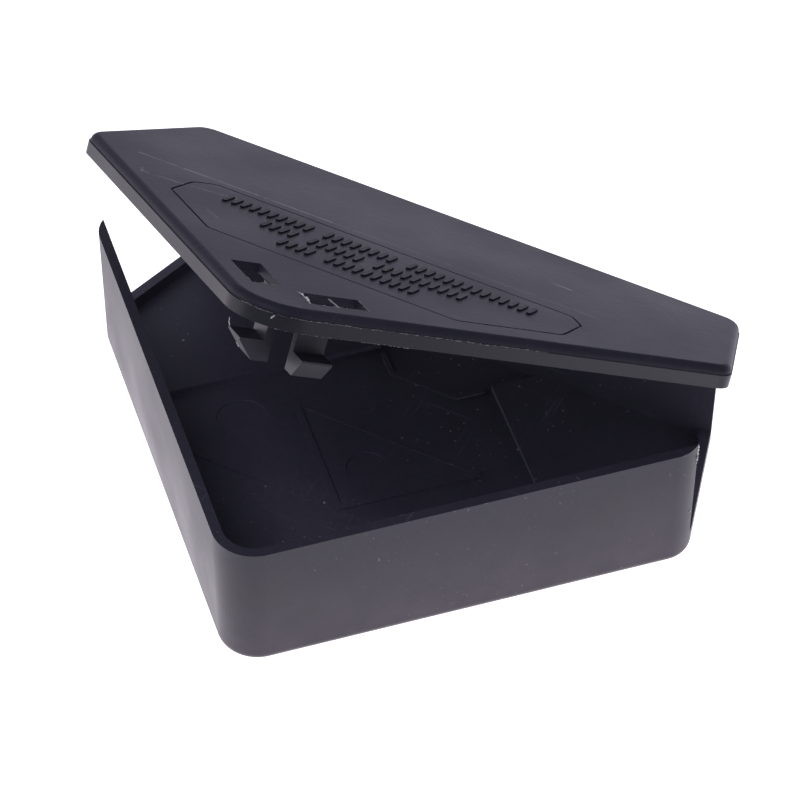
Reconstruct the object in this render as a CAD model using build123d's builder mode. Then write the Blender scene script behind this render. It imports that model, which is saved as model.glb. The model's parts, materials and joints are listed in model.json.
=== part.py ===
"""Triangular mouse bait station: a polypropylene tray with a living-hinged lid.

The whole object leaves its mould as one piece. It is modelled here as the stiff regions
that the thin flexing webs join: the tray, the lid and the two snap hooks under the lid.

Millimetres. X runs along the hinge side, +Y from the front corner to the hinge, +Z up.
The origin is on the underside, halfway between the front corner and the hinge side.
Every piece of the lid is drawn closed, then turned back to the opening it is stored at.
"""

import os
from math import cos, radians, sin, sqrt

from build123d import *

# Plan of the lid, which every other outline is moved in from.
LID_WIDTH = 133.0
LID_DEPTH = 99.2
HINGE_SIDE_WIDTH = 114.6
FRONT_Y = -52.0
FRONT_RADIUS = 11.0
SIDE_RADIUS = 4.5
REAR_RADIUS = 4.5
MIN_RADIUS = 1.0

# Tray.
RIM_HEIGHT = 30.2
FLOOR = 2.0
WALL = 1.9
PAN_HEIGHT = 4.0
FOOT_RADIUS = 2.4
DRAFT_DEGREES = 0.7
FOOT_INSET = 3.4
CAVITY_INSET = FOOT_INSET + WALL
TRAY_SIDE_RADIUS = 6.0

# Mouths in the two cut-off corners: they take all of the wall between the inner faces of
# the front and the rear wall, down to a sill.
MOUTH_REACH = 44.0
SILL_HEIGHT = 5.8

# Raised floor behind each mouth, and the low marks on the floor.
STEP_HEIGHT = 1.2
STEP_LINE = 47.6
POCKET_Y = 30.5
POCKET_HALF_WIDTH = 7.0
POCKET_RIB_WIDTH = 1.0
RIB_HEIGHT = 0.5
RIB_WIDTH = 1.4
RIB_CORNER_Y = -4.9
RIB_END_Y = 15.0
LINE_WIDTH = 0.9
LINE_HEIGHT = 0.3
WITNESS_LINE_Y = -5.3
PIN_MARK_DEPTH = 0.3
PIN_MARK_Y = 6.7
CENTRE_MARK_RADIUS = 4.0
SIDE_MARK_RADIUS = 5.0
SIDE_MARK_X = 27.0

# Living hinge.
HINGE_Y = 46.9
HINGE_Z = 30.3
HINGE_GAP = 0.1
HINGE_LENGTH = 100.0
FLANGE_THICKNESS = 1.5
WEB_INNER_RADIUS = 0.3
WEB_OUTER_RADIUS = 0.7
REST_OPENING = 32.7

# Lid.
LID_UNDERSIDE = 30.35
LID_THICKNESS = 1.7
LID_TOP = LID_UNDERSIDE + LID_THICKNESS
LID_STEP = 0.25
LID_SHOULDER = 1.5
SKIRT_HEIGHT = 2.4
SKIRT_WALL = 1.6
SKIRT_END_Y = 45.1

# Groove around the front field of the lid, half of it; the other half mirrors it.
GROOVE_HALF = [(24.7, -18.3), (39.6, -3.4), (39.6, 6.0), (36.4, 9.6)]
GROOVE_WIDTH = 0.45
GROOVE_DEPTH = 0.3
GROOVE_RADIUS = 2.4

# Raised marks inside the groove: (row's Y, number of marks in each group of the row).
MARK_ROWS = [(3.2, (10, 8, 14)), (-3.8, (4, 6, 10)), (-10.8, (4, 10))]
MARK_PITCH = 1.85
MARK_GAP = 2.2
MARK_LENGTH = 4.4
MARK_WIDTH = 0.85
MARK_HEIGHT = 0.3

# Key slots and snap hooks lie along the two front edges. "along" runs back from the front
# corner's diagonal with the edge, "out" is square to the edge, both from the row's origin.
SLOT_IN = 26.4
SLOT_OUT = 32.1
SLOT_FRONT = -24.0
SLOT_BACK = -12.8
HOOK_BACK = -16.4
HOOK_WIDTH = 5.8
STEM_IN = 24.6
STEM_THICKNESS = 1.6
PIVOT_OUT = STEM_IN + STEM_THICKNESS / 2
PIVOT_Z = 29.15
BARB_TOP = 21.2
BARB_TIP = 30.8
BARB_LAND = 0.4
BARB_BOTTOM = 17.4
BARB_BOTTOM_OUT = 27.8
ROOT_GAP = 0.3
ROOT_IN = 23.6
ROOT_BOTTOM = 28.75
CATCH_OUT = 31.3
CATCH_BACK = -15.4
CATCH_WIDTH = 8.0
CATCH_BOTTOM = 21.6
CATCH_TOP = 23.9
CATCH_LEAD = 0.7

SQUARE = 1 / sqrt(2)
ALONG = (SQUARE, SQUARE)
OUT = (SQUARE, -SQUARE)
SIDE_CORNER = (LID_WIDTH / 2, FRONT_Y + LID_WIDTH / 2)
REAR_CORNER = (HINGE_SIDE_WIDTH / 2, FRONT_Y + LID_DEPTH)
HINGE_AXIS = Axis((0, HINGE_Y, HINGE_Z), (-1, 0, 0))


def plan(inset, height, side_radius):
    """Outline of the lid moved in by inset, with rounded corners, as a sketch at a height."""
    with BuildSketch(Plane.XY.offset(height)) as outline:
        with BuildLine():
            Polyline(
                (0, FRONT_Y),
                SIDE_CORNER,
                REAR_CORNER,
                (-REAR_CORNER[0], REAR_CORNER[1]),
                (-SIDE_CORNER[0], SIDE_CORNER[1]),
                close=True,
            )
        make_face()
        if inset > 0:
            offset(amount=-inset, kind=Kind.INTERSECTION)
        front = outline.vertices().sort_by(Axis.Y)[0]
        fillet(front, FRONT_RADIUS - inset)
        sides = outline.vertices().sort_by(Axis.X)
        fillet([sides[0], sides[-1]], side_radius)
        rear = outline.vertices().group_by(Axis.Y)[-1]
        fillet(rear, max(REAR_RADIUS - inset, MIN_RADIUS))
    return outline.sketch


def edge_plane(along, height=0.0):
    """Plane square to the right front edge: its X runs outward and its Y runs up."""
    origin = (along * ALONG[0], along * ALONG[1], height)
    return Plane(origin=origin, x_dir=(OUT[0], OUT[1], 0), z_dir=(-ALONG[0], -ALONG[1], 0))


def opened(piece):
    """A piece of the closed lid, turned back about the hinge to its rest opening."""
    return piece.rotate(HINGE_AXIS, REST_OPENING)


def save(piece, name):
    """Label a finished piece and write it under its own name."""
    piece.label = name
    export_step(piece, f"parts/{name}.step")


# ---------------------------------------------------------------- tray


def cavity(bottom, top):
    """The space inside the tray's walls between two heights."""
    outline = plan(CAVITY_INSET, FLOOR, TRAY_SIDE_RADIUS - WALL)
    with BuildPart() as inside:
        extrude(outline, amount=RIM_HEIGHT - FLOOR, taper=-DRAFT_DEGREES)
        if bottom > FLOOR:
            split(bisect_by=Plane.XY.offset(bottom), keep=Keep.TOP)
        if top < RIM_HEIGHT:
            split(bisect_by=Plane.XY.offset(top), keep=Keep.BOTTOM)
    return inside.part


def tray_shell():
    """Floor and walls in one, before the mouths are cut."""
    outline = plan(FOOT_INSET, 0, TRAY_SIDE_RADIUS)
    with BuildPart() as shell:
        extrude(outline, amount=RIM_HEIGHT, taper=-DRAFT_DEGREES)
        fillet(shell.faces().sort_by(Axis.Z)[0].edges(), FOOT_RADIUS)
        add(cavity(FLOOR, RIM_HEIGHT), mode=Mode.SUBTRACT)
    return shell.part


def mouth_blocks(bottom, top):
    """Cutter for both mouths between two heights, flush with the walls' inner faces."""
    front_line = FRONT_Y + CAVITY_INSET / SQUARE
    rear_line = FRONT_Y + LID_DEPTH - CAVITY_INSET
    with BuildPart() as blocks:
        with BuildSketch(Plane.XY.offset(FLOOR)):
            with BuildLine():
                Polyline(
                    (MOUTH_REACH, MOUTH_REACH + front_line),
                    (rear_line - front_line, rear_line),
                    (MOUTH_REACH, rear_line),
                    close=True,
                )
            make_face()
        extrude(amount=RIM_HEIGHT + 1 - FLOOR, taper=-DRAFT_DEGREES)
        split(bisect_by=Plane.XY.offset(bottom), keep=Keep.TOP)
        if top < RIM_HEIGHT:
            split(bisect_by=Plane.XY.offset(top), keep=Keep.BOTTOM)
        mirror(about=Plane.YZ)
    return blocks.part


def wall_ring():
    """Walls above the pan, cut into a front and a rear length by the mouths."""
    with BuildPart() as ring:
        add(tray_shell())
        split(bisect_by=Plane.XY.offset(PAN_HEIGHT), keep=Keep.TOP)
        add(mouth_blocks(PAN_HEIGHT, RIM_HEIGHT), mode=Mode.SUBTRACT)
    return ring.part


def make_floor_pan():
    with BuildPart() as floor_pan:
        add(tray_shell())
        split(bisect_by=Plane.XY.offset(PAN_HEIGHT), keep=Keep.BOTTOM)
        with BuildSketch(Plane.XY.offset(FLOOR)):
            with Locations((0, PIN_MARK_Y)):
                Circle(CENTRE_MARK_RADIUS)
            with Locations((-SIDE_MARK_X, PIN_MARK_Y), (SIDE_MARK_X, PIN_MARK_Y)):
                Circle(SIDE_MARK_RADIUS)
        extrude(amount=-PIN_MARK_DEPTH, mode=Mode.SUBTRACT)
    save(floor_pan.part, "floor_pan")


def make_front_wall():
    with BuildPart() as front_wall:
        add(wall_ring().solids().sort_by(Axis.Y)[0])
    save(front_wall.part, "front_wall")


def make_rear_wall():
    with BuildPart() as rear_wall:
        add(wall_ring().solids().sort_by(Axis.Y)[-1])
    save(rear_wall.part, "rear_wall")


def make_sill(side, name):
    """Upstand across a mouth; side 0 is the left one and side -1 the right one."""
    with BuildPart() as both:
        add(tray_shell())
        add(mouth_blocks(PAN_HEIGHT, SILL_HEIGHT), mode=Mode.INTERSECT)
    with BuildPart() as sill:
        add(both.solids().sort_by(Axis.X)[side])
    save(sill.part, name)


def make_entrance_step(name, to_left):
    """Raised floor behind a mouth, cut off square to the front edge and by the bait pocket."""
    far = LID_WIDTH
    meet_x = (STEP_LINE - POCKET_Y + POCKET_HALF_WIDTH) / 2
    pocket_shift = POCKET_Y - POCKET_HALF_WIDTH
    with BuildPart() as step:
        add(cavity(FLOOR, FLOOR + STEP_HEIGHT))
        with BuildSketch(Plane.XY.offset(FLOOR)):
            with BuildLine():
                Polyline(
                    (meet_x, STEP_LINE - meet_x),
                    (far, STEP_LINE - far),
                    (far, far),
                    (far - pocket_shift, far),
                    close=True,
                )
            make_face()
        extrude(amount=STEP_HEIGHT, mode=Mode.INTERSECT)
        if to_left:
            mirror(about=Plane.YZ, mode=Mode.REPLACE)
    save(step.part, name)


def make_floor_ribs():
    """Witness line from wall to wall, and the low ribs of the triangle behind it."""
    rib_reach = RIB_END_Y - RIB_CORNER_Y
    with BuildPart() as floor_ribs:
        with BuildSketch(Plane.XY.offset(FLOOR)):
            with BuildLine():
                Polyline((-rib_reach, RIB_END_Y), (0, RIB_CORNER_Y), (rib_reach, RIB_END_Y))
            trace(line_width=RIB_WIDTH)
        extrude(amount=RIB_HEIGHT)
        with BuildSketch(Plane.XY.offset(FLOOR)):
            with Locations((0, WITNESS_LINE_Y)):
                Rectangle(LID_WIDTH, LINE_WIDTH)
            with Locations((0, RIB_END_Y)):
                Rectangle(2 * rib_reach, LINE_WIDTH)
        extrude(amount=LINE_HEIGHT)
        add(cavity(FLOOR, PAN_HEIGHT), mode=Mode.INTERSECT)
    save(floor_ribs.part, "floor_ribs")


def make_bait_pocket_rib():
    """Low rib around the bait pocket against the rear wall, up to the entrance steps."""
    end_x = (STEP_LINE - POCKET_Y + POCKET_HALF_WIDTH) / 2 - POCKET_RIB_WIDTH
    end_y = POCKET_Y + end_x - POCKET_HALF_WIDTH
    with BuildPart() as pocket_rib:
        with BuildSketch(Plane.XY.offset(FLOOR)):
            with BuildLine():
                Polyline(
                    (-end_x, end_y),
                    (-POCKET_HALF_WIDTH, POCKET_Y),
                    (POCKET_HALF_WIDTH, POCKET_Y),
                    (end_x, end_y),
                )
            trace(line_width=POCKET_RIB_WIDTH)
        extrude(amount=RIB_HEIGHT)
    save(pocket_rib.part, "bait_pocket_rib")


def make_hinge_flange():
    """Strip along the top of the rear wall that carries the web of the hinge."""
    depth = 2 * (HINGE_Y - HINGE_GAP)
    with BuildPart() as flange:
        with BuildSketch(Plane.XY.offset(RIM_HEIGHT - FLANGE_THICKNESS)):
            Rectangle(HINGE_LENGTH, depth)
        extrude(amount=FLANGE_THICKNESS)
        add(cavity(FLOOR, RIM_HEIGHT), mode=Mode.SUBTRACT)
        add(tray_shell(), mode=Mode.SUBTRACT)
    with BuildPart() as hinge_flange:
        add(flange.solids().sort_by(Axis.Y)[-1])
    save(hinge_flange.part, "hinge_flange")


def make_catch(name, to_left):
    """Ledge on the wall that a hook's barb goes under, with a lead-in on its top edge."""
    with BuildPart() as catch:
        with BuildSketch(edge_plane(CATCH_BACK)):
            with BuildLine():
                Polyline(
                    (CATCH_OUT, CATCH_BOTTOM),
                    (CATCH_OUT, CATCH_TOP - 2 * CATCH_LEAD),
                    (CATCH_OUT + CATCH_LEAD, CATCH_TOP),
                    (CATCH_OUT + 2 * WALL, CATCH_TOP),
                    (CATCH_OUT + 2 * WALL, CATCH_BOTTOM),
                    close=True,
                )
            make_face()
        extrude(amount=CATCH_WIDTH)
        add(cavity(PAN_HEIGHT, RIM_HEIGHT), mode=Mode.INTERSECT)
        if to_left:
            mirror(about=Plane.YZ, mode=Mode.REPLACE)
    save(catch.part, name)


# ---------------------------------------------------------------- hinge


def make_hinge_web():
    """Thin web round the hinge axis, from the flange's edge to the edge of the open lid."""
    reach = 5.0
    turn = radians(REST_OPENING)
    apex_z = HINGE_GAP * sin(turn) - HINGE_GAP * (1 - cos(turn)) / sin(turn) * cos(turn)
    section = Plane(origin=(HINGE_LENGTH / 2, HINGE_Y, HINGE_Z), x_dir=(0, 1, 0), z_dir=(1, 0, 0))
    with BuildPart() as hinge_web:
        with BuildSketch(section):
            Circle(WEB_OUTER_RADIUS)
            Circle(WEB_INNER_RADIUS, mode=Mode.SUBTRACT)
            with BuildLine():
                Polyline(
                    (-HINGE_GAP, apex_z),
                    (-HINGE_GAP, -reach),
                    (-reach, -reach),
                    (-reach, reach),
                    (-HINGE_GAP + reach * sin(turn), apex_z + reach * cos(turn)),
                    close=True,
                )
            make_face(mode=Mode.SUBTRACT)
        extrude(amount=-HINGE_LENGTH)
    save(hinge_web.part, "hinge_web")


# ---------------------------------------------------------------- lid


def key_slots():
    """Cutter for the two slots over the hooks."""
    middle = (SLOT_IN + SLOT_OUT) / 2
    with BuildPart() as cutter:
        with BuildSketch(edge_plane(SLOT_BACK)):
            with Locations((middle, LID_UNDERSIDE)):
                Rectangle(SLOT_OUT - SLOT_IN, 4 * LID_THICKNESS)
        extrude(amount=SLOT_BACK - SLOT_FRONT)
        mirror(about=Plane.YZ)
    return cutter.part


def make_lid_panel():
    """Top of the lid: rounded shoulder, key slots and the groove round its front field."""
    left_half = [(-x, y) for x, y in reversed(GROOVE_HALF)]
    with BuildPart() as lid_panel:
        extrude(plan(LID_STEP, LID_UNDERSIDE, SIDE_RADIUS), amount=LID_THICKNESS)
        top = lid_panel.faces().sort_by(Axis.Z)[-1]
        rim_edges = top.edges().sort_by(Axis.Y)[:-1]
        fillet(rim_edges, LID_SHOULDER)
        split(bisect_by=Plane.XZ.offset(-(HINGE_Y - HINGE_GAP)), keep=Keep.TOP)
        add(key_slots(), mode=Mode.SUBTRACT)
        with BuildSketch(Plane.XY.offset(LID_TOP)):
            with BuildLine():
                FilletPolyline(*GROOVE_HALF, *left_half, radius=GROOVE_RADIUS, close=True)
            trace(line_width=GROOVE_WIDTH)
        extrude(amount=-GROOVE_DEPTH, mode=Mode.SUBTRACT)
    save(opened(lid_panel.part), "lid_panel")


def make_lid_skirt():
    """Downturned edge round the lid, which stops short of the hinge."""
    bottom = LID_UNDERSIDE - SKIRT_HEIGHT
    with BuildPart() as lid_skirt:
        extrude(plan(0, bottom, SIDE_RADIUS), amount=SKIRT_HEIGHT)
        inner = plan(SKIRT_WALL, bottom, SIDE_RADIUS - SKIRT_WALL)
        extrude(inner, amount=SKIRT_HEIGHT, mode=Mode.SUBTRACT)
        split(bisect_by=Plane.XZ.offset(-SKIRT_END_Y), keep=Keep.TOP)
    save(opened(lid_skirt.part), "lid_skirt")


def make_lid_marks():
    """Rows of plain raised strokes on the lid."""
    with BuildPart() as lid_marks:
        with BuildSketch(Plane.XY.offset(LID_TOP)):
            for row_y, groups in MARK_ROWS:
                gaps = len(groups) - 1
                row_length = (sum(groups) - 1) * MARK_PITCH + gaps * MARK_GAP
                start = -row_length / 2
                for count in groups:
                    middle = start + (count - 1) * MARK_PITCH / 2
                    with Locations((middle, row_y)):
                        with GridLocations(MARK_PITCH, MARK_PITCH, count, 1):
                            SlotOverall(MARK_LENGTH, MARK_WIDTH, rotation=90)
                    start += count * MARK_PITCH + MARK_GAP
        extrude(amount=MARK_HEIGHT)
    save(opened(lid_marks.part), "lid_marks")


def make_hook_root(name, to_left):
    """Thickening under the lid that a hook's stem grows from."""
    root_out = PIVOT_OUT + STEM_THICKNESS / 2 + ROOT_GAP
    with BuildPart() as root:
        with BuildSketch(edge_plane(HOOK_BACK)):
            with BuildLine():
                Polyline(
                    (ROOT_IN, ROOT_BOTTOM),
                    (root_out, ROOT_BOTTOM),
                    (root_out, LID_UNDERSIDE),
                    (ROOT_IN, LID_UNDERSIDE),
                    close=True,
                )
            make_face()
            with Locations((PIVOT_OUT, PIVOT_Z)):
                Circle(STEM_THICKNESS / 2 + ROOT_GAP, mode=Mode.SUBTRACT)
        extrude(amount=HOOK_WIDTH)
        if to_left:
            mirror(about=Plane.YZ, mode=Mode.REPLACE)
    with BuildPart() as hook_root:
        add(root.solids().sort_by(SortBy.VOLUME)[-1])
    save(opened(hook_root.part), name)


def make_hook(name, to_left):
    """Snap hook: a flat stem with a wedge barb that faces the wall."""
    stem_out = STEM_IN + STEM_THICKNESS
    with BuildPart() as hook:
        with BuildSketch(edge_plane(HOOK_BACK)):
            with BuildLine():
                Polyline(
                    (STEM_IN, PIVOT_Z),
                    (STEM_IN, BARB_BOTTOM),
                    (BARB_BOTTOM_OUT, BARB_BOTTOM),
                    (BARB_TIP, BARB_TOP - BARB_LAND),
                    (BARB_TIP, BARB_TOP),
                    (stem_out, BARB_TOP),
                    (stem_out, PIVOT_Z),
                )
                CenterArc((PIVOT_OUT, PIVOT_Z), STEM_THICKNESS / 2, 0, 180)
            make_face()
        extrude(amount=HOOK_WIDTH)
        if to_left:
            mirror(about=Plane.YZ, mode=Mode.REPLACE)
    save(opened(hook.part), name)


os.makedirs("parts", exist_ok=True)
make_floor_pan()
make_front_wall()
make_rear_wall()
make_sill(0, "sill_left")
make_sill(-1, "sill_right")
make_entrance_step("entrance_step_left", to_left=True)
make_entrance_step("entrance_step_right", to_left=False)
make_floor_ribs()
make_bait_pocket_rib()
make_hinge_flange()
make_catch("catch_left", to_left=True)
make_catch("catch_right", to_left=False)
make_hinge_web()
make_lid_panel()
make_lid_skirt()
make_lid_marks()
make_hook_root("hook_root_left", to_left=True)
make_hook_root("hook_root_right", to_left=False)
make_hook("hook_left", to_left=True)
make_hook("hook_right", to_left=False)
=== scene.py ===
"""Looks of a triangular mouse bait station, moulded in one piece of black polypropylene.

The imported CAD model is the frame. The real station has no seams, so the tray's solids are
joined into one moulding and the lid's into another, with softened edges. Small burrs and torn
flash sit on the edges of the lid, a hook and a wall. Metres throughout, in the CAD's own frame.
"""

import json
import random
from math import cos, pi, radians, sin, sqrt

import bmesh
import bpy
from mathutils import Matrix, Vector
from mathutils.bvhtree import BVHTree


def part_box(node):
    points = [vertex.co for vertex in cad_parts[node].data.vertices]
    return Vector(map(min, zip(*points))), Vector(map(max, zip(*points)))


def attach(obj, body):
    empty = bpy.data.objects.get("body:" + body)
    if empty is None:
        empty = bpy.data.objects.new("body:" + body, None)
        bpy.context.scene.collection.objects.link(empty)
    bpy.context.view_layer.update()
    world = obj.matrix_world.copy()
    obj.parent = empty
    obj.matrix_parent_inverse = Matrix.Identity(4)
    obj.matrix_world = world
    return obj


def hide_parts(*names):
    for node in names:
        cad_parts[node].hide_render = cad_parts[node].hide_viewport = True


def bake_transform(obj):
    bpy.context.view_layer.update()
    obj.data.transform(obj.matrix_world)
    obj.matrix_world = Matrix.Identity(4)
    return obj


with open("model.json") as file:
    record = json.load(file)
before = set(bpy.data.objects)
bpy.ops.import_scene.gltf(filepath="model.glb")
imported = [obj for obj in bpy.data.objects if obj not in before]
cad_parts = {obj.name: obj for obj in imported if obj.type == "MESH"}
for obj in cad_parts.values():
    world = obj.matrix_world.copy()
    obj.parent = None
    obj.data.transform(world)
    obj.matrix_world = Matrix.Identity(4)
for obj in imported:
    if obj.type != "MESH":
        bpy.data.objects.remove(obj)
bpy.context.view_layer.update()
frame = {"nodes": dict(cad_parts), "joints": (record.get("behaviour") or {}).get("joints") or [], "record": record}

MM = 0.001
record = frame["record"]
nodes = frame["nodes"]
members = record["behaviour"]["bodies"]
joints = {joint["name"]: joint for joint in frame["joints"]}
hinge = Vector(joints["lid_hinge"]["pos_m"])
rest_opening = radians(-joints["lid_hinge"]["range_deg"][0])

# Turns a point of the closed lid to where it is at rest, and back.
opened = (
    Matrix.Translation(hinge) @ Matrix.Rotation(-rest_opening, 4, "X") @ Matrix.Translation(-hinge)
)
closed = opened.inverted()
lid_up = (opened.to_3x3() @ Vector((0, 0, 1))).normalized()

tray_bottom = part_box("floor_pan")[0].z
rim_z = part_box("front_wall")[1].z

# Heights and front edge of the closed lid, read back from the CAD meshes.
lid_top = max((closed @ v.co).z for v in nodes["lid_panel"].data.vertices)
skirt_points = [closed @ v.co for v in nodes["lid_skirt"].data.vertices]
skirt_top = max(p.z for p in skirt_points)
skirt_bottom = min(p.z for p in skirt_points)
skirt_front = min(p.y for p in skirt_points)

# The front sides run at 45 degrees and meet in a corner of this radius.
DIAGONAL = sqrt(0.5)
CORNER_RADIUS = 11.0 * MM

# The key slots' edges, along and square to the front edge (mm), as in the CAD model.
SLOT_IN, SLOT_OUT = 26.4, 32.1
SLOT_FRONT, SLOT_BACK = -24.0, -12.8
HOOK_BACK = -16.4

# The round core that joins a hook to its root, and how far it stays inside them.
ROOT_CORE_RADIUS = 1.12 * MM
ROOT_CORE_INSET = 0.02 * MM

# How meshes are cleaned up, and how much their sharp edges are rounded.
CAD_WELD = 0.001 * MM
UNION_WELD = 0.01 * MM
SLIVER = 0.005 * MM
FLAT_ANGLE = radians(0.6)
SHARP_ANGLE = radians(35)
TRAY_EDGE_WIDTH = 0.16 * MM
SHELL_EDGE_WIDTH = 0.14 * MM

# The chamber's floor and the low upright faces of its ribs and steps, by height.
FLOOR_LOW, FLOOR_HIGH = MM, rim_z - 5 * MM
RIDGE_LOW, RIDGE_HIGH = tray_bottom + 1.8 * MM, tray_bottom + 3.4 * MM

# The skirt's upright faces: the sine of how far they may lean, and the height where they end.
UPRIGHT_LEAN = 0.2
SKIRT_FACE_TOP = skirt_top - 0.02 * MM


# ---------------------------------------------------------------- meshes


def linked(name, mesh):
    """A new object of that mesh, in the scene."""
    piece = bpy.data.objects.new(name, mesh)
    bpy.context.scene.collection.objects.link(piece)
    return piece


def welded(mesh):
    """Copy of a CAD mesh with the doubled vertices of its facets joined."""
    copy = mesh.copy()
    bm = bmesh.new()
    bm.from_mesh(copy)
    bmesh.ops.remove_doubles(bm, verts=bm.verts, dist=CAD_WELD)
    bm.to_mesh(copy)
    bm.free()
    return copy


def united(name, parts):
    """One closed mesh of several touching solids, with its flat facets merged."""
    base, *others = [linked(f"{name}_{i}", mesh) for i, mesh in enumerate(parts)]
    tools = bpy.data.collections.new(f"{name}_tools")
    for other in others:
        tools.objects.link(other)
    union = base.modifiers.new("union", "BOOLEAN")
    union.operation = "UNION"
    union.operand_type = "COLLECTION"
    union.collection = tools
    union.solver = "EXACT"
    depsgraph = bpy.context.evaluated_depsgraph_get()
    mesh = bpy.data.meshes.new_from_object(base.evaluated_get(depsgraph))
    for piece in (base, *others):
        bpy.data.objects.remove(piece)
    bpy.data.collections.remove(tools)
    bm = bmesh.new()
    bm.from_mesh(mesh)
    bmesh.ops.remove_doubles(bm, verts=bm.verts, dist=UNION_WELD)
    bmesh.ops.dissolve_degenerate(bm, edges=bm.edges, dist=SLIVER)
    bmesh.ops.dissolve_limit(bm, angle_limit=FLAT_ANGLE, verts=bm.verts, edges=bm.edges)
    bm.to_mesh(mesh)
    bm.free()
    mesh.materials.clear()
    mesh.name = name
    return linked(name, mesh)


def soften(piece, width, edge_material):
    """Rounds a piece's sharp edges and gives the rounding a worn material."""
    piece.data.shade_smooth()
    bevel = piece.modifiers.new("soft_edges", "BEVEL")
    bevel.width = width
    bevel.segments = 2
    bevel.limit_method = "ANGLE"
    bevel.angle_limit = SHARP_ANGLE
    bevel.use_clamp_overlap = True
    piece.data.materials.append(edge_material)
    bevel.material = len(piece.data.materials) - 1
    normals = piece.modifiers.new("normals", "WEIGHTED_NORMAL")
    normals.keep_sharp = True


# ---------------------------------------------------------------- materials

# Casts of the plastic, which leans a little to violet, and of its torn or scratched spots.
GREEN_SHARE = 0.96
VIOLET_SHARE = 1.3
CREAM_SHARE = 0.91

# Noise scales, in features per metre.
CLOUDS = 38
SCUFFS_ACROSS = 60
WEAR_AND_SHEEN_PATCHES = 60
SCUFFS_ALONG = 75
SCUFF_BREAKS = 330
COARSE_GRAIN = 700
SPECKS = 900
TORN_STREAKS = 900
DUST = 1050
TORN_GRAIN = 1800
FINE_GRAIN = 2600

# The lid's scuffs and painted crease highlight fade out between these heights, and are full over this share of
# their width.
TOP_FADE = (lid_top - 0.4 * MM, lid_top - 0.2 * MM)
STROKE_CORE = 0.4

# Pale strokes on the lid's plan (mm): start, end, half width, strength. Most are scuffs; the two along y 12 to 14
# mm paint a highlight on the lid's faint crease.
LID_SCUFFS_AND_CREASE_HIGHLIGHT = [
    ((-49.0, 3.2), (-48.0, 1.0), 0.35, 0.7),
    ((-48.0, 1.0), (-40.7, 2.0), 0.35, 0.7),
    ((-40.7, 2.0), (-29.3, 5.5), 0.40, 0.6),
    # Painted highlight along the lid's faint crease.
    ((-54.0, 12.0), (-14.0, 12.8), 0.50, 0.6),
    ((-14.0, 12.8), (40.0, 14.2), 0.30, 0.30),
    ((26.0, 26.0), (30.0, 26.0), 0.40, 0.7),
    ((-30.0, -8.0), (-26.5, -10.5), 0.25, 0.5),
]

# Below this height the walls' outer faces turn paler in patches, a painted reflection of the bright floor, and are
# worn smoother there.
FOOT_WEAR_AND_SHEEN_TOP = 27 * MM


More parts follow.
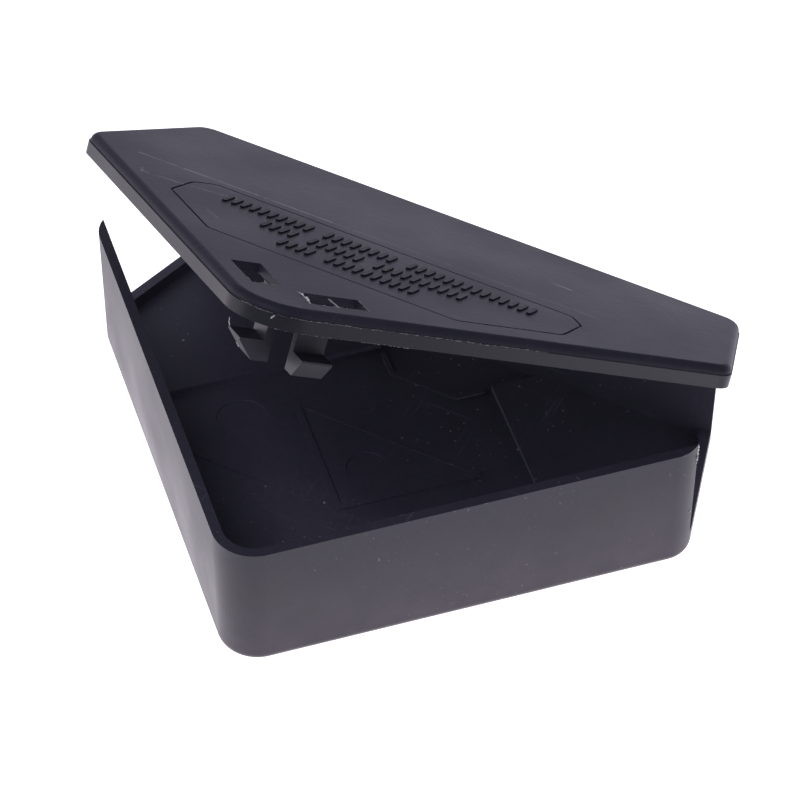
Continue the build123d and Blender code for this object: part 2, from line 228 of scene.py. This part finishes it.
class Graph:
    """Short calls for building a material's nodes."""

    def __init__(self, name):
        self.material = bpy.data.materials.new(name)
        self.material.use_nodes = True
        self.tree = self.material.node_tree
        self.shader = self.tree.nodes["Principled BSDF"]

    def add(self, kind, inputs=(), **settings):
        """A node with its settings, and its inputs as values or as sockets to link."""
        node = self.tree.nodes.new(kind)
        for key, value in settings.items():
            setattr(node, key, value)
        for key, value in dict(inputs).items():
            if isinstance(value, bpy.types.NodeSocket):
                self.tree.links.new(value, node.inputs[key])
            else:
                node.inputs[key].default_value = value
        return node

    def place(self, scale=(1, 1, 1), rotation=(0, 0, 0)):
        """The piece's own coordinates, turned and stretched."""
        coordinates = self.add("ShaderNodeTexCoord")
        inputs = {"Vector": coordinates.outputs["Object"], "Scale": scale, "Rotation": rotation}
        return self.add("ShaderNodeMapping", inputs).outputs["Vector"]

    def noise(self, vector, scale, detail=3.0, roughness=0.5):
        """Noise value, with its scale in features per metre."""
        inputs = {"Vector": vector, "Scale": scale, "Detail": detail, "Roughness": roughness}
        return self.add("ShaderNodeTexNoise", inputs).outputs["Fac"]

    def span(self, value, low, high, start=0.0, end=1.0):
        """Value mapped from low..high to start..end, held inside it."""
        inputs = {"Value": value, 1: low, 2: high, 3: start, 4: end}
        return self.add("ShaderNodeMapRange", inputs, clamp=True).outputs["Result"]

    def math(self, operation, a, b):
        """Result of one operation on two values or sockets."""
        node = self.add("ShaderNodeMath", {0: a, 1: b}, operation=operation)
        return node.outputs["Value"]

    def blend(self, factor, a, b):
        """Colour a turning to colour b."""
        node = self.add("ShaderNodeMix", data_type="RGBA")
        for socket, value in ((node.inputs[0], factor), (node.inputs[6], a), (node.inputs[7], b)):
            if isinstance(value, bpy.types.NodeSocket):
                self.tree.links.new(value, socket)
            else:
                socket.default_value = value
        return node.outputs[2]

    def flat(self):
        """Coordinates on the closed lid, with the height taken out, and 1 on the lid's top."""
        shift = closed.to_translation()
        coordinates = self.add("ShaderNodeTexCoord").outputs["Object"]
        inputs = {"Vector": coordinates, "Location": shift, "Rotation": (rest_opening, 0, 0)}
        level = self.add("ShaderNodeMapping", inputs).outputs["Vector"]
        inputs = {0: level, 1: (1.0, 1.0, 0.0)}
        flat = self.add("ShaderNodeVectorMath", inputs, operation="MULTIPLY").outputs["Vector"]
        height = self.add("ShaderNodeSeparateXYZ", {"Vector": level}).outputs["Z"]
        return flat, self.span(height, *TOP_FADE)

    def stroke(self, flat, start, end, half):
        """1 on a straight line between two points of the plan (mm), 0 beyond its half width."""
        start, end = Vector((*start, 0)) * MM, Vector((*end, 0)) * MM
        run = end - start
        reach = self.add("ShaderNodeVectorMath", {0: flat, 1: start}, operation="SUBTRACT")
        along = self.add(
            "ShaderNodeVectorMath", {0: reach.outputs["Vector"], 1: run}, operation="DOT_PRODUCT"
        )
        share = self.span(along.outputs["Value"], 0.0, run.length_squared)
        foot = self.add("ShaderNodeVectorMath", {0: run, "Scale": share}, operation="SCALE")
        inputs = {0: reach.outputs["Vector"], 1: foot.outputs["Vector"]}
        away = self.add("ShaderNodeVectorMath", inputs, operation="DISTANCE").outputs["Value"]
        return self.span(away, half * STROKE_CORE * MM, half * MM, 1.0, 0.0)

    def bump(self, height, distance, strength, under=None):
        """Normal of a height, on top of an earlier normal."""
        inputs = {"Height": height, "Distance": distance, "Strength": strength}
        if under is not None:
            inputs["Normal"] = under
        return self.add("ShaderNodeBump", inputs).outputs["Normal"]

    def finish(self, **sockets):
        """Sets the shader's own sockets and returns the material."""
        for key, value in sockets.items():
            socket = self.shader.inputs[key.replace("_", " ")]
            if isinstance(value, bpy.types.NodeSocket):
                self.tree.links.new(value, socket)
            else:
                socket.default_value = value
        return self.material


def grey(level, warmth=0.0):
    """Near-neutral colour of the plastic."""
    return (level * (1.0 + warmth), level * GREEN_SHARE, level * (VIOLET_SHARE - warmth), 1.0)


def pale(level):
    """Cream-white of scratched or torn plastic."""
    return (level, level * GREEN_SHARE, level * CREAM_SHARE, 1.0)


def hairlines(g, cloud, seed):
    """1 on fine scuffs in two directions, where the clouds are dense."""
    across = g.noise(g.place(scale=(1, 26, 26), rotation=(0, 0, seed + 0.5)), SCUFFS_ACROSS, 2, 0.6)
    turned = g.place(scale=(22, 1, 22), rotation=(0.2, 0.1, seed + 0.2))
    along = g.noise(turned, SCUFFS_ALONG, 2, 0.6)
    lines = [g.span(noise, 0.66, 0.72) for noise in (across, along)]
    return g.math("MULTIPLY", g.math("MAXIMUM", *lines), g.span(cloud, 0.42, 0.62))


def lid_scuffs_and_crease_highlight(g, place, base):
    """Base colour with the lid's pale scuffs and painted crease highlight, broken up by a fine noise."""
    flat, on_top = g.flat()
    worn = g.math("MULTIPLY", on_top, g.span(g.noise(place, SCUFF_BREAKS, 3, 0.7), 0.38, 0.58))
    for start, end, half, strength in LID_SCUFFS_AND_CREASE_HIGHLIGHT:
        mark = g.stroke(flat, start, end, half)
        mark = g.math("MULTIPLY", mark, g.math("MULTIPLY", worn, strength))
        base = g.blend(mark, base, pale(0.16))
    return base


def foot_wear_and_sheen(g, place, base, roughness, level):
    """Base colour and roughness with paler, smoother patches low on the walls: the paler colour is a painted
    reflection of the bright floor, the lower roughness is wear.
    """
    height = g.add("ShaderNodeSeparateXYZ", {"Vector": place}).outputs["Z"]
    low = g.span(height, MM, FOOT_WEAR_AND_SHEEN_TOP, 1.0, 0.0)
    patches = g.span(g.noise(place, WEAR_AND_SHEEN_PATCHES, 5, 0.65), 0.32, 0.66, 0.25, 1.0)
    wear_and_sheen = g.math("MULTIPLY", low, patches)
    # Painted reflection of the bright floor: paler colour low on the walls.
    base = g.blend(wear_and_sheen, base, grey(level, 0.12))
    return base, g.math("SUBTRACT", roughness, g.math("MULTIPLY", wear_and_sheen, 0.12))


def dusted(g, place, cloud, base, strength):
    """Base colour with pale grains of dust, where the clouds are dense."""
    grit = g.span(g.noise(place, DUST, 1), 0.735, 0.76)
    grit = g.math("MULTIPLY", grit, g.span(cloud, 0.46, 0.58, 0.0, strength))
    return g.blend(grit, base, pale(0.3))


def grained(g, place, scuff, strength):
    """Normal of two moulded grains, one finer than the other, with the scuffs pressed in."""
    fine = g.bump(g.noise(place, FINE_GRAIN, 3, 0.6), 0.02 * MM, strength)
    coarse = g.bump(g.noise(place, COARSE_GRAIN, 3, 0.65), 0.05 * MM, strength * 0.8, fine)
    return g.bump(g.math("MULTIPLY", scuff, -1.0), 0.02 * MM, 0.6, coarse)


def moulded(
    name, level, rough, grain, scuffs=0.5, seed=0.0, specular=0.4, lid=False, foot=0.0, dust=0.0
):
    """Satin black polypropylene: fine moulded grain, cloudy gloss and hairline scuffs.

    level is the grey, and foot the grey of the paler patches low on the walls, a painted reflection
    of the bright floor. rough is the mean roughness. grain, scuffs and dust are strengths. lid adds
    the lid's own scuffs and a painted highlight along its crease.
    """
    g = Graph(name)
    place = g.place()
    cloud = g.noise(g.place(rotation=(seed, 0.3, seed)), CLOUDS, 4)
    speck = g.noise(place, SPECKS, 2)
    scuff = g.math("MULTIPLY", hairlines(g, cloud, seed), scuffs)
    base = g.blend(g.span(cloud, 0.3, 0.7), grey(level * 0.82), grey(level * 1.14))
    base = g.blend(g.span(speck, 0.35, 0.7, 0.0, 0.25), base, grey(level * 1.5))
    base = g.blend(scuff, base, grey(level * 2.4))
    roughness = g.span(cloud, 0.25, 0.75, rough - 0.05, rough + 0.06)
    roughness = g.math("ADD", roughness, g.math("MULTIPLY", scuff, 0.12))
    if lid:
        base = lid_scuffs_and_crease_highlight(g, place, base)
    if foot:
        base, roughness = foot_wear_and_sheen(g, place, base, roughness, foot)
    if dust:
        base = dusted(g, place, cloud, base, dust)
    return g.finish(
        Base_Color=base,
        Roughness=roughness,
        Normal=grained(g, place, scuff, grain),
        IOR=1.49,
        Specular_IOR_Level=specular,
    )


def torn(name, level):
    """Stress-whitened plastic where flash was torn off."""
    g = Graph(name)
    streaks = g.noise(g.place(scale=(1, 1, 6)), TORN_STREAKS, 4, 0.65)
    base = g.blend(g.span(streaks, 0.3, 0.7), pale(level * 0.5), pale(level))
    normal = g.bump(g.noise(g.place(), TORN_GRAIN, 4, 0.7), 0.08 * MM, 0.9)
    return g.finish(Base_Color=base, Roughness=0.62, Normal=normal, Subsurface_Weight=0.1)


TRAY = moulded(
    "tray_polypropylene",
    level=0.022,
    rough=0.42,
    grain=0.35,
    scuffs=0.7,
    seed=0.4,
    specular=0.28,
    foot=0.048,
    dust=0.25,
)
LID = moulded(
    "lid_polypropylene",
    level=0.018,
    rough=0.43,
    grain=1.0,
    scuffs=0.6,
    seed=1.3,
    specular=0.075,
    lid=True,
)
# Darker copy of the lid's plastic for the skirt's upright faces: painted shade.
SKIRT_SHADE = moulded(
    "skirt_painted_shade", level=0.010, rough=0.38, grain=0.3, scuffs=0.4, seed=1.3, specular=0.28
)
# Twice as light a copy of the tray's plastic for the chamber's inside: painted light, with real dust on it.
INSIDE_PAINTED_LIGHT_AND_DUST = moulded(
    "inside_painted_light_and_dust", level=0.046, rough=0.36, grain=0.3, scuffs=0.6, seed=0.4, dust=1.0
)
HOOK = moulded(
    "hook_polypropylene", level=0.018, rough=0.40, grain=0.3, scuffs=0.3, seed=2.1, specular=0.25
)
HOOK_EDGE = moulded("hook_worn_edge", level=0.16, rough=0.45, grain=0.3, scuffs=0.2, seed=1.9)
HINGE = moulded("hinge_polypropylene", level=0.024, rough=0.36, grain=0.25, scuffs=0.3, seed=2.9)
# Darker copy for the lid's raised marks: painted shade.
MARK_SHADE = moulded(
    "mark_painted_shade", level=0.008, rough=0.42, grain=0.3, scuffs=0.2, seed=3.3, specular=0.04
)
# Lighter copy for the low upright faces of ribs and steps: painted highlight.
RIDGE_HIGHLIGHT = moulded("ridge_painted_highlight", level=0.09, rough=0.42, grain=0.3, scuffs=0.2, seed=0.7)
EDGE = moulded("worn_edge", level=0.085, rough=0.40, grain=0.2, scuffs=0.2, seed=0.9)
FLASH = torn("torn_flash", 0.62)
PALE = torn("pale_edge", 0.22)
CREAM = torn("cream_nub", 0.38)


# ---------------------------------------------------------------- tray


def line_inside(mesh, chamber, ridge_highlight):
    """Gives faces that look at the tray itself, and its floor, the slot for the chamber, whose lighter copy of the
    plastic is painted light.

    The low upright faces among them get the slot for the ridges, a still lighter copy that paints highlights on
    the steps and ribs.
    """
    tree = BVHTree.FromPolygons([v.co for v in mesh.vertices], [f.vertices for f in mesh.polygons])
    for face in mesh.polygons:
        just_off = face.center + face.normal * 0.02 * MM
        faces_tray = tree.ray_cast(just_off, face.normal)[0] is not None
        is_floor = face.normal.z > DIAGONAL and FLOOR_LOW < face.center.z < FLOOR_HIGH
        if faces_tray or is_floor:
            face.material_index = chamber
        is_low = RIDGE_LOW < face.center.z < RIDGE_HIGH
        if faces_tray and is_low and abs(face.normal.z) < DIAGONAL:
            face.material_index = ridge_highlight


def make_tray():
    """Floor, walls, sills, steps, ribs, flange and catches as the one moulding they are."""
    parts = [welded(nodes[name].data) for name in members["tray"]]
    tray = united("tray_moulding", parts)
    for material in (TRAY, INSIDE_PAINTED_LIGHT_AND_DUST, RIDGE_HIGHLIGHT):
        tray.data.materials.append(material)
    line_inside(tray.data, chamber=1, ridge_highlight=2)
    soften(tray, TRAY_EDGE_WIDTH, EDGE)
    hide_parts(*members["tray"])
    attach(tray, "tray")


# ---------------------------------------------------------------- lid


def make_lid():
    """Lid panel and skirt as one moulding; the skirt's upright faces get a darker copy of the plastic, painted
    shade.
    """
    shell = ("lid_panel", "lid_skirt")
    lid = united("lid_moulding", [welded(nodes[name].data) for name in shell])
    lid.data.materials.append(LID)
    lid.data.materials.append(SKIRT_SHADE)
    # The skirt's upright faces take the darker copy: painted shade.
    for face in lid.data.polygons:
        upright = abs(face.normal.dot(lid_up)) < UPRIGHT_LEAN
        if upright and (closed @ face.center).z < SKIRT_FACE_TOP:
            face.material_index = 1
    soften(lid, SHELL_EDGE_WIDTH, EDGE)
    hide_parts(*shell)
    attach(lid, "lid")


def finish_marks():
    """The lid's raised marks stay the CAD's own mesh, with a darker material of their own: painted shade."""
    materials = nodes["lid_marks"].data.materials
    materials.clear()
    materials.append(MARK_SHADE)


def rod(name, start, end, radius):
    """Closed round bar between two points."""
    along = end - start
    turn = Vector((0, 0, 1)).rotation_difference(along).to_matrix().to_4x4()
    place = Matrix.Translation((start + end) / 2) @ turn
    bm = bmesh.new()
    bmesh.ops.create_cone(
        bm,
        cap_ends=True,
        segments=24,
        radius1=radius,
        radius2=radius,
        depth=along.length,
        matrix=place,
    )
    mesh = bpy.data.meshes.new(name)
    bm.to_mesh(mesh)
    bm.free()
    return mesh


def make_hook(side):
    """Snap hook that grows out of the lid."""
    joint = joints[f"{side}_hook_flex"]
    pivot, axis = Vector(joint["pos_m"]), Vector(joint["axis"]).normalized()
    hook, root = nodes[f"hook_{side}"].data, nodes[f"hook_root_{side}"].data
    reach = [(v.co - pivot).dot(axis) for v in hook.vertices]
    near = pivot + axis * (min(reach) + ROOT_CORE_INSET)
    far = pivot + axis * (max(reach) - ROOT_CORE_INSET)
    filling = rod(f"hook_{side}_core", near, far, ROOT_CORE_RADIUS)
    piece = united(f"snap_hook_{side}", [welded(hook), welded(root), filling])
    piece.data.materials.append(HOOK)
    soften(piece, SHELL_EDGE_WIDTH, HOOK_EDGE)
    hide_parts(f"hook_{side}", f"hook_root_{side}")
    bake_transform(piece)


# ---------------------------------------------------------------- burrs and torn flash

# A torn edge has a point at every step, moved at random by up to its wander (mm).
TEAR_STEP = 0.3
TEAR_WANDER = 0.08

# Each burr draws from a seed of its own, counted up from this one.
FIRST_SEED = 11


def along_edge(along, out, height, side=1):
    """Point by the distances along and square to a front edge, on the closed station."""
    x, y = (along + out) * DIAGONAL, (along - out) * DIAGONAL
    return Vector((side * x, y, height / MM)) * MM


def outline(run, out, height):
    """Point on the lid's outline, by the distance in mm from the middle of its front corner."""
    radius = CORNER_RADIUS / MM
    turn = min(abs(run) / radius, pi / 4)
    straight = max(abs(run) - radius * pi / 4, 0.0) * DIAGONAL
    x = (radius + out) * sin(turn) + straight
    y = skirt_front / MM + radius - (radius + out) * cos(turn) + straight
    return Vector((x if run > 0 else -x, y, height / MM)) * MM


def thread(bm, path, radii, sides=6):
    """Adds a closed lumpy thread along a path to a bmesh."""
    angles = [2 * pi * k / sides for k in range(sides)]
    spokes = [Vector((cos(angle), sin(angle), 0)) for angle in angles]
    rings = []
    for i, radius in enumerate(radii):
        ahead = path[min(i + 1, len(path) - 1)] - path[max(i - 1, 0)]
        turn = Vector((0, 0, 1)).rotation_difference(ahead).to_matrix()
        rings.append([bm.verts.new(path[i] + turn @ spoke * radius) for spoke in spokes])
    for low, high in zip(rings, rings[1:]):
        for k in range(sides):
            after = (k + 1) % sides
            bm.faces.new((low[k], low[after], high[after], high[k]))
    bm.faces.new(reversed(rings[0]))
    bm.faces.new(rings[-1])


def ragged(bm, corners, thick, thin, rng):
    """Adds a torn edge along a polyline, between two radii in mm."""
    path = []
    for start, end in zip(corners, corners[1:]):
        count = max(2, round((end - start).length / (TEAR_STEP * MM)))
        path += [start.lerp(end, i / count) for i in range(count)]
    path.append(corners[-1])
    moves = [[rng.uniform(-TEAR_WANDER, TEAR_WANDER) for _ in range(3)] for _ in path]
    path = [point + Vector(move) * MM for point, move in zip(path, moves)]
    sizes = (thin, thin, (thin + thick) / 2, thick)
    radii = [rng.choice(sizes) * rng.uniform(0.7, 1.0) for _ in path]
    radii[0] = radii[-1] = thin * 0.4
    thread(bm, path, [radius * MM for radius in radii])


def burr(name, material, body, runs, seed):
    """One piece of torn edges; each run is (corners, thick, thin).

    The runs on the lid and the hook are set out on the closed station and opened here.
    """
    rng = random.Random(seed)
    bm = bmesh.new()
    for corners, thick, thin in runs:
        ragged(bm, corners, thick, thin, rng)
    if body != "tray":
        bm.transform(opened)
    bmesh.ops.recalc_face_normals(bm, faces=bm.faces)
    mesh = bpy.data.meshes.new(name)
    bm.to_mesh(mesh)
    bm.free()
    piece = linked(name, mesh)
    piece.data.materials.append(material)
    piece.data.shade_smooth()
    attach(piece, body)


def slot_burrs():
    """Torn flash round the right key slot, and ragged edges on both."""
    top, low = lid_top - 0.05 * MM, lid_top - 0.5 * MM
    middle = (SLOT_FRONT + SLOT_BACK) / 2
    front_in = along_edge(SLOT_FRONT, SLOT_IN, top)
    front_out = along_edge(SLOT_FRONT, SLOT_OUT, top)
    back_in = along_edge(SLOT_BACK, SLOT_IN, top)
    back_out = along_edge(SLOT_BACK, SLOT_OUT, top)
    lip = [front_in, along_edge(SLOT_FRONT + 0.4, 29.0, top), front_out]
    corner = [along_edge(SLOT_FRONT - 0.6, SLOT_IN - 0.2, top), front_in]
    stub = [along_edge(middle, SLOT_OUT - 0.1, low), along_edge(middle, SLOT_OUT - 0.9, low)]
    strand = [along_edge(middle, SLOT_IN, low), along_edge(middle + 0.6, SLOT_OUT, low)]
    left_edge = [
        along_edge(SLOT_FRONT, SLOT_IN, top, -1),
        along_edge(SLOT_FRONT, SLOT_OUT, top, -1),
        along_edge(SLOT_FRONT + 4.0, SLOT_OUT, top, -1),
    ]
    torn_runs = [(lip, 0.34, 0.10), (corner, 0.22, 0.10), (stub, 0.2, 0.1)]
    ragged_runs = [
        ([front_out, back_out], 0.14, 0.04),
        ([back_in, back_out], 0.08, 0.05),
        (strand, 0.2, 0.12),
    ]
    return [
        ("torn_flash_right_slot", FLASH, "lid", torn_runs),
        ("ragged_edge_right_slot", PALE, "lid", ragged_runs),
        ("ragged_edge_left_slot", PALE, "lid", [(left_edge, 0.12, 0.04)]),
    ]


def lid_edge_burrs():
    """Thin flash on the parting lines above and below the skirt, and a nub at its front corner."""
    seam, hem = skirt_top + 0.05 * MM, skirt_bottom + 0.02 * MM
    seam_path = [outline(run, -0.1, seam) for run in (-4.0, 0.0, 4.0, 8.0, 12.0, 30.0, 55.0)]
    hem_path = [outline(run, -0.05, hem) for run in (1.0, 4.0, 8.0, 14.0, 30.0)]
    nub = [outline(2.2, 0.0, skirt_top - 0.9 * MM), outline(2.8, 0.05, skirt_top - 0.1 * MM)]
    return [
        ("parting_line_flash", PALE, "lid", [(seam_path, 0.11, 0.03), (hem_path, 0.08, 0.03)]),
        ("corner_nub", CREAM, "lid", [(nub, 0.32, 0.18)]),
    ]


def hook_burr():
    """Pale burr down the back of the left hook's barb."""
    spike = along_edge(HOOK_BACK, 31.1, 22.8 * MM, -1)
    tip = along_edge(HOOK_BACK, 30.8, 21.3 * MM, -1)
    heel = along_edge(HOOK_BACK, 27.9, 17.5 * MM, -1)
    return ("left_hook_burr", FLASH, "left_hook", [([spike, tip, heel], 0.16, 0.09)])


def wall_burr():
    """Torn flash down the right end of the front wall."""
    wall = [v.co for v in nodes["front_wall"].data.vertices]
    head = max((p for p in wall if p.z > rim_z - MM), key=lambda p: p.x)
    foot = max((p for p in wall if p.z < head.z - 18 * MM), key=lambda p: p.x)
    upper = [head.lerp(foot, share) for share in (0.0, 0.1, 0.28)]
    lower = [head.lerp(foot, share) for share in (0.95, 0.98)]
    return ("wall_end_burr", FLASH, "tray", [(upper, 0.44, 0.14), (lower, 0.3, 0.2)])


def make_burrs():
    """Every burr, with the next seed for each."""
    burrs = [*slot_burrs(), *lid_edge_burrs(), hook_burr(), wall_burr()]
    for seed, (name, material, body, runs) in enumerate(burrs, FIRST_SEED):
        burr(name, material, body, runs, seed)


# ---------------------------------------------------------------- hinge


def make_hinge():
    """Living hinge web, with its own material and smooth shading."""
    web = linked("living_hinge", welded(nodes["hinge_web"].data))
    web.data.materials.clear()
    web.data.materials.append(HINGE)
    web.data.shade_smooth()
    web.modifiers.new("normals", "WEIGHTED_NORMAL")
    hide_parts("hinge_web")
    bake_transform(web)


# ---------------------------------------------------------------- stage, light, camera


FLOOR_HALF = 3.0
FLOOR_GAP = 0.05 * MM
FLOOR_COLOUR = (0.32, 0.32, 0.34, 1.0)

# The floor's glow falls from one strength to the other between two distances from the middle.
GLOW_NEAR, GLOW_FAR = 0.155, 0.60
GLOW_BRIGHT, GLOW_DIM = 1.30, 0.20

# Its tone turns from warm to cool between two places from front to rear.
COOLING_START, COOLING_END = 0.02, 0.20
WARM = (1.0, 0.94, 1.0, 1.0)
COOL = (0.90, 0.88, 1.08, 1.0)

ROOM_COLOUR = (0.80, 0.80, 1.0, 1.0)
ROOM_STRENGTH = 0.44


def make_stage():
    """Pale light-table floor, whose glow dims away from the middle and cools to the rear."""
    bm = bmesh.new()
    bmesh.ops.create_grid(bm, x_segments=1, y_segments=1, size=FLOOR_HALF)
    bmesh.ops.translate(bm, verts=bm.verts, vec=(0, 0, tray_bottom - FLOOR_GAP))
    mesh = bpy.data.meshes.new("floor")
    bm.to_mesh(mesh)
    bm.free()
    floor = linked("floor", mesh)
    g = Graph("pale_floor")
    place = g.place()
    depth = g.add("ShaderNodeSeparateXYZ", {"Vector": place}).outputs["Y"]
    away = g.add("ShaderNodeVectorMath", {0: place}, operation="LENGTH").outputs["Value"]
    glow = g.span(away, GLOW_NEAR, GLOW_FAR, GLOW_BRIGHT, GLOW_DIM)
    tone = g.blend(g.span(depth, COOLING_START, COOLING_END), WARM, COOL)
    surface = g.finish(
        Base_Color=FLOOR_COLOUR, Roughness=0.9, Emission_Color=tone, Emission_Strength=glow
    )
    mesh.materials.append(surface)


def softbox(name, place, aim, size, power, colour):
    """Rectangular soft light that faces a point; its power is in watts."""
    light = bpy.data.lights.new(name, "AREA")
    light.shape = "RECTANGLE"
    light.size, light.size_y = size
    light.energy = power
    light.color = colour
    lamp = bpy.data.objects.new(name, light)
    lamp.location = place
    lamp.rotation_euler = (Vector(aim) - Vector(place)).to_track_quat("-Z", "Y").to_euler()
    lamp.visible_camera = False
    bpy.context.scene.collection.objects.link(lamp)


def make_lights():
    """Soft cool room over the light table, with softboxes left, above and low on the right."""
    middle = (0, 0, 0.03)
    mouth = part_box("sill_right")[1]
    softbox(
        "left",
        place=(-0.9, -0.25, 0.3),
        aim=middle,
        size=(0.7, 0.5),
        power=3.0,
        colour=(0.95, 0.95, 1.0),
    )
    softbox(
        "front_top",
        place=(-0.15, -0.42, 0.95),
        aim=middle,
        size=(0.5, 0.5),
        power=4.5,
        colour=(0.84, 0.84, 1.0),
    )
    softbox(
        "right_low",
        place=mouth + Vector((0.2, -0.07, 0.05)),
        aim=mouth,
        size=(0.12, 0.08),
        power=0.13,
        colour=(0.9, 0.9, 1.0),
    )
    world = bpy.data.worlds.new("studio")
    world.use_nodes = True
    background = world.node_tree.nodes["Background"]
    background.inputs["Color"].default_value = ROOM_COLOUR
    background.inputs["Strength"].default_value = ROOM_STRENGTH
    bpy.context.scene.world = world


# The camera looks at AIM from this far, turned to the right, raised and rolled by these angles.
AZIMUTH = radians(26.92)
ELEVATION = radians(47.40)
ROLL = radians(0.51)
AIM = Vector((6.51, 7.48, 23.42)) * MM
DISTANCE = 0.749
LENS_MM = 181.87
SENSOR_MM = 36.0
FAR_CLIP = 20.0


def make_camera():
    """Long-lens camera in front, to the right and well above the station."""
    back = Vector((sin(AZIMUTH) * cos(ELEVATION), -cos(AZIMUTH) * cos(ELEVATION), sin(ELEVATION)))
    level = Vector((cos(AZIMUTH), sin(AZIMUTH), 0))
    upright = back.cross(level)
    right = level * cos(ROLL) + upright * sin(ROLL)
    up = back.cross(right)
    data = bpy.data.cameras.new("camera")
    data.lens = LENS_MM
    data.sensor_width = SENSOR_MM
    data.clip_end = FAR_CLIP
    camera = bpy.data.objects.new("camera", data)
    turn = Matrix((right, up, back)).transposed().to_4x4()
    camera.matrix_world = Matrix.Translation(AIM + back * DISTANCE) @ turn
    bpy.context.scene.collection.objects.link(camera)
    bpy.context.scene.camera = camera


make_tray()
make_lid()
finish_marks()
make_hook("left")
make_hook("right")
make_hinge()
make_burrs()
make_stage()
make_lights()
make_camera()
bpy.context.scene.view_settings.view_transform = "Standard"
